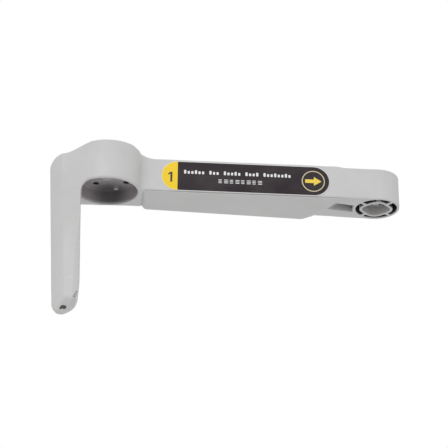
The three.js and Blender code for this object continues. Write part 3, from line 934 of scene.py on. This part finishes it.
def painted(name, bare_parts=False):
    """Light grey paint over dark plastic, with a fine matt grain."""
    material, wires, shader = new_material(name)
    place = wires.millimetres()
    pointy = wires.add("NewGeometry").outputs["Pointiness"]
    mottle = wires.noise(place, 0.16, 3.0, 0.5)
    colour = wires.mix(mottle, PAINT_COOL, PAINT_WARM)
    dust = placed(wires, DUST, "Mask", Vector=place, Amount=0.22)
    colour = wires.mix(dust, colour, DUST_ON_PAINT)
    rubbed = placed(wires, WEAR, "Mask", Vector=place, Pointiness=pointy, Start=0.53, Spread=0.05)
    colour = wires.mix(wires.sum("MULTIPLY", rubbed, 0.35), colour, PAINT_RUBBED)
    colour = wires.mix(wires.sum("MULTIPLY", scratches(wires, place), 0.28), colour, SCUFF)
    grain = placed(wires, GRAIN, "Height", Vector=place, Grain=7.0)
    rough = wires.ramp(grain, 0.2, 0.8, 0.44, 0.56)
    if bare_parts:
        bare = bare_inside(wires, place)
        knocks = tip_marks(wires, place)
        colour = wires.mix(bare, colour, bare_plastic_and_painted_shading(wires, place))
        # Painted shade: near black deep inside the screw holes.
        colour = wires.mix(painted_hole_shade(wires, place), colour, HOLE_PAINTED_SHADE)
        colour = wires.mix(knocks, colour, KNOCK_DARK)
        unpainted = wires.sum("MAXIMUM", bare, knocks)
        rough = wires.sum("ADD", rough, wires.sum("MULTIPLY", unpainted, 0.12))
    wires.feed(shader.inputs["Base Color"], colour)
    wires.feed(shader.inputs["Roughness"], rough)
    bump(wires, shader, grain, 0.35, 0.03)
    return material


def label_film():
    """Printed film: a dark field, a yellow end, and the film's own pale margin."""
    material, wires, shader = new_material("label_film")
    place = wires.millimetres()
    split = wires.add("SeparateXYZ", {0: place})
    x, z = split.outputs[0], split.outputs[2]
    left_over = wires.sum("SUBTRACT", LABEL_LEFT + LABEL_HALF, x)
    right_over = wires.sum("SUBTRACT", x, LABEL_RIGHT - LABEL_HALF)
    beyond = wires.sum("MAXIMUM", wires.sum("MAXIMUM", left_over, right_over), 0.0)
    aside = wires.sum("SUBTRACT", z, LABEL_Z)
    squares = wires.sum("ADD", wires.sum("MULTIPLY", beyond, beyond), wires.sum("MULTIPLY", aside, aside))
    from_line = wires.sum("SQRT", squares)
    fibre = wires.noise(place, 2.2, 4.0, 0.6)
    dark = wires.mix(fibre, (0.017, 0.010, 0.014, 1), (0.025, 0.016, 0.021, 1))
    yellow = wires.mix(fibre, (0.90, 0.60, 0.018, 1), (0.97, 0.68, 0.030, 1))
    colour = wires.mix(wires.ramp(x, YELLOW_END + 0.03, YELLOW_END - 0.03), dark, yellow)
    margin = wires.ramp(from_line, LABEL_HALF - 0.2, LABEL_HALF - 0.15)
    colour = wires.mix(margin, colour, FILM_MARGIN)
    dust = placed(wires, DUST, "Mask", Vector=place, Amount=0.05)
    wires.feed(shader.inputs["Base Color"], wires.mix(dust, colour, DUST_ON_FILM))
    wires.feed(shader.inputs["Roughness"], wires.ramp(fibre, 0.3, 0.7, 0.5, 0.6))
    shader.inputs["Specular IOR Level"].default_value = 0.3
    bump(wires, shader, placed(wires, GRAIN, "Height", Vector=place, Grain=5.0), 0.12, 0.01)
    return material


def ink(name, thin, thick):
    """Printed ink that covers unevenly."""
    material, wires, shader = new_material(name)
    place = wires.millimetres()
    cover = wires.noise(place, 2.6, 3.0, 0.6)
    wires.feed(shader.inputs["Base Color"], wires.mix(cover, thin, thick))
    wires.feed(shader.inputs["Roughness"], wires.ramp(cover, 0.3, 0.7, 0.38, 0.5))
    bump(wires, shader, placed(wires, GRAIN, "Height", Vector=place, Grain=9.0), 0.1, 0.006)
    return material


def turned_metal(name, dark, light, rough, metallic=1.0):
    """Metal turned on a lathe about the hinge axis: fine rings, and bright rubbed edges."""
    material, wires, shader = new_material(name)
    place = wires.millimetres()
    pointy = wires.add("NewGeometry").outputs["Pointiness"]
    radius = wires.distance(place, (0, 0, 0), "XY")
    height = wires.add("SeparateXYZ", {0: place}).outputs[2]
    turned = wires.sum("ADD", radius, height)
    wobble = wires.sum("MULTIPLY", wires.noise(place, 3.0, 2.0, 0.5), 0.05)
    rings = wires.sum("SINE", wires.sum("MULTIPLY", wires.sum("ADD", turned, wobble), 70.0))
    tone = wires.noise(place, 0.9, 4.0, 0.6)
    colour = wires.mix(tone, dark, light)
    worn = placed(wires, WEAR, "Mask", Vector=place, Pointiness=pointy, Start=0.52, Spread=0.06)
    colour = wires.mix(wires.sum("MULTIPLY", worn, 0.6), colour, METAL_RUBBED)
    dust = placed(wires, DUST, "Mask", Vector=place, Amount=0.3)
    wires.feed(shader.inputs["Base Color"], wires.mix(dust, colour, DUST_ON_METAL))
    wires.feed(shader.inputs["Roughness"], wires.ramp(rings, -1.0, 1.0, rough - 0.05, rough + 0.08))
    shader.inputs["Metallic"].default_value = metallic
    bump(wires, shader, rings, 0.12, 0.01)
    return material


def circuit_board():
    material, wires, shader = new_material("circuit_board")
    place = wires.millimetres()
    split = wires.add("SeparateXYZ", {0: place})
    path = wires.add("Mapping", {"Vector": place, "Scale": (1.6, 0.0, 0.45)}).outputs[0]
    tracks = wires.add(
        "TexVoronoi", {"Vector": path, "Scale": 1.0}, feature="DISTANCE_TO_EDGE", distance="MANHATTAN",
    )
    copper = wires.ramp(tracks.outputs[0], 0.07, 0.05)
    mask = wires.mix(wires.noise(place, 1.3, 3.0, 0.5), (0.014, 0.075, 0.030, 1), (0.020, 0.10, 0.042, 1))
    wires.feed(shader.inputs["Base Color"], wires.mix(copper, mask, (0.035, 0.15, 0.06, 1)))
    wires.feed(shader.inputs["Roughness"], wires.ramp(split.outputs[2], -40.0, -15.0, 0.28, 0.36))
    bump(wires, shader, copper, 0.3, 0.03)
    return material


def foam():
    material, wires, shader = new_material("foam")
    place = wires.millimetres()
    cells = wires.add("TexVoronoi", {"Vector": place, "Scale": 3.2}, feature="F1").outputs[0]
    colour = wires.mix(cells, (0.018, 0.018, 0.019, 1), (0.055, 0.055, 0.058, 1))
    wires.feed(shader.inputs["Base Color"], colour)
    wires.feed(shader.inputs["Roughness"], wires.ramp(cells, 0.0, 0.6, 0.85, 0.98))
    bump(wires, shader, cells, 0.8, 0.12)
    return material


def plain_floor():
    material, wires, shader = new_material("pale_floor")
    place = wires.add("TexCoord").outputs["Object"]
    tone = wires.noise(place, 3.0, 4.0, 0.5)
    wires.feed(shader.inputs["Base Color"], wires.mix(tone, (0.74, 0.74, 0.74, 1), (0.78, 0.78, 0.78, 1)))
    shader.inputs["Roughness"].default_value = 0.85
    return material


# ---- the model -----------------------------------------------------------------------------

paint_shell = painted("paint_shell", bare_parts=True)
paint_cover = painted("paint_cover")
steel = turned_metal("turned_steel", (0.42, 0.42, 0.43, 1), (0.58, 0.58, 0.59, 1), 0.32)
barrel_metal = turned_metal("cast_barrel", (0.20, 0.20, 0.205, 1), (0.30, 0.30, 0.305, 1), 0.42)
bronze = turned_metal("sintered_bronze", (0.36, 0.22, 0.09, 1), (0.48, 0.32, 0.14, 1), 0.45)
spring_steel = turned_metal("spring_steel", (0.22, 0.225, 0.24, 1), (0.34, 0.345, 0.36, 1), 0.3)
friction = turned_metal("friction_ring", (0.030, 0.030, 0.032, 1), (0.055, 0.055, 0.058, 1), 0.55, 0.0)

form = outer_form()
leg_cover = make_leg_cover(form)
arm_shell = make_arm_shell(form)
finished(arm_shell, "moulded_shell", "arm", paint_shell, "arm_shell")
finished(leg_cover, "moulded_leg_cover", "arm", paint_cover, "leg_cover")
finished(make_arm_cover(), "moulded_arm_cover", "arm", paint_cover, "arm_cover")

finished(make_label_film(), "label_backing", "arm", label_film(), "instruction_label")
yellow_ink = ink("yellow_ink", (0.80, 0.58, 0.05, 1), (0.93, 0.70, 0.09, 1))
cream_ink = ink("cream_ink", (0.58, 0.51, 0.32, 1), (0.70, 0.62, 0.42, 1))
white_ink = ink("white_ink", (0.74, 0.74, 0.74, 1), (0.86, 0.86, 0.85, 1))
black_ink = ink("black_ink", (0.022, 0.017, 0.018, 1), (0.036, 0.030, 0.031, 1))
finished(make_figure(), "label_figure", "arm", black_ink, None)
finished(make_arrow(), "label_arrow", "arm", yellow_ink, None)
finished(make_ring(), "label_ring", "arm", cream_ink, None)
finished(make_print_bars(), "label_bars", "arm", white_ink, None)

for node, edge, body, slot, material in (
    ("hinge_barrel", 0.06, "arm", "barrel", barrel_metal),
    ("spring_seat", 0.04, "arm", "steel", steel),
    ("antenna_board", 0.04, "arm", "board", circuit_board()),
    ("antenna_pad", 0.12, "arm", "foam", foam()),
    ("hinge_shaft", 0.08, "hinge_base", "steel", steel),
    ("friction_washer", 0.04, "hinge_base", "friction", friction),
    ("fixed_cam", 0.07, "hinge_base", "steel", steel),
    ("thrust_washer", 0.05, "hinge_base", "bronze", bronze),
    ("slotted_nut", 0.07, "hinge_base", "steel", steel),
    ("cam_follower", 0.07, "follower", "steel", steel),
):
    finished(refined(node, edge), node + "_fine", body, material, node)

spring = finished(
    worked(refined("detent_spring", 0), "SUBSURF", levels=1, render_levels=1),
    "detent_spring_fine", "arm", spring_steel, "detent_spring", 60,
)
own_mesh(spring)

# ---- floor, light and camera ---------------------------------------------------------------

bpy.ops.object.select_all(action="DESELECT")
bpy.ops.mesh.primitive_plane_add(size=6, location=(0, 0, -0.32))
floor = bpy.context.object
floor.name = "floor"
floor.data.materials.append(plain_floor())


def soft_light(name, place, aim, size, watts):
    lamp = bpy.data.lights.new(name, "AREA")
    lamp.shape = "DISK"
    lamp.size = size
    lamp.energy = watts
    obj = bpy.data.objects.new(name, lamp)
    bpy.context.scene.collection.objects.link(obj)
    obj.location = place
    obj.rotation_euler = (Vector(aim) - Vector(place)).to_track_quat("-Z", "Y").to_euler()


CENTRE = (-0.044, 0, -0.015)
soft_light("key", (-0.35, -0.8, 0.35), CENTRE, 0.6, 1.95)
soft_light("fill", (0.6, -0.6, 0.1), CENTRE, 0.6, 0.18)
soft_light("back", (0.2, 0.8, 0.5), CENTRE, 0.6, 1.6)

world = bpy.data.worlds.new("studio")
world.use_nodes = True
bpy.context.scene.world = world
sky = Wiring(world.node_tree)
world.node_tree.nodes.clear()
white = sky.add("Background", {"Color": (1, 1, 1, 1), "Strength": 1.0})
dome = sky.add("Background", {"Color": (1, 1, 1, 1), "Strength": 0.8})
seen = sky.add("LightPath").outputs["Is Camera Ray"]
both = sky.add("MixShader", {0: seen, 1: dome.outputs[0], 2: white.outputs[0]})
sky.feed(sky.add("OutputWorld").inputs["Surface"], both.outputs[0])

AZIMUTH, ELEVATION, ROLL = math.radians(-5.67), math.radians(-25.18), math.radians(0.42)
DISTANCE = 0.45
AIM = Vector((-0.044, 0, -0.0155))
back = Vector((
    math.sin(AZIMUTH) * math.cos(ELEVATION), -math.cos(AZIMUTH) * math.cos(ELEVATION), math.sin(ELEVATION),
))
lens = bpy.data.cameras.new("camera")
lens.lens = 129.6
lens.sensor_width = 36
lens.shift_x = 0.0065
lens.shift_y = -0.0105
camera = bpy.data.objects.new("camera", lens)
bpy.context.scene.collection.objects.link(camera)
camera.location = AIM + back * DISTANCE
camera.rotation_mode = "QUATERNION"
aimed = (-back).to_track_quat("-Z", "Y")
aimed.rotate(Quaternion(back, ROLL))
camera.rotation_quaternion = aimed
bpy.context.scene.camera = camera
bpy.context.scene.view_settings.view_transform = "Standard"
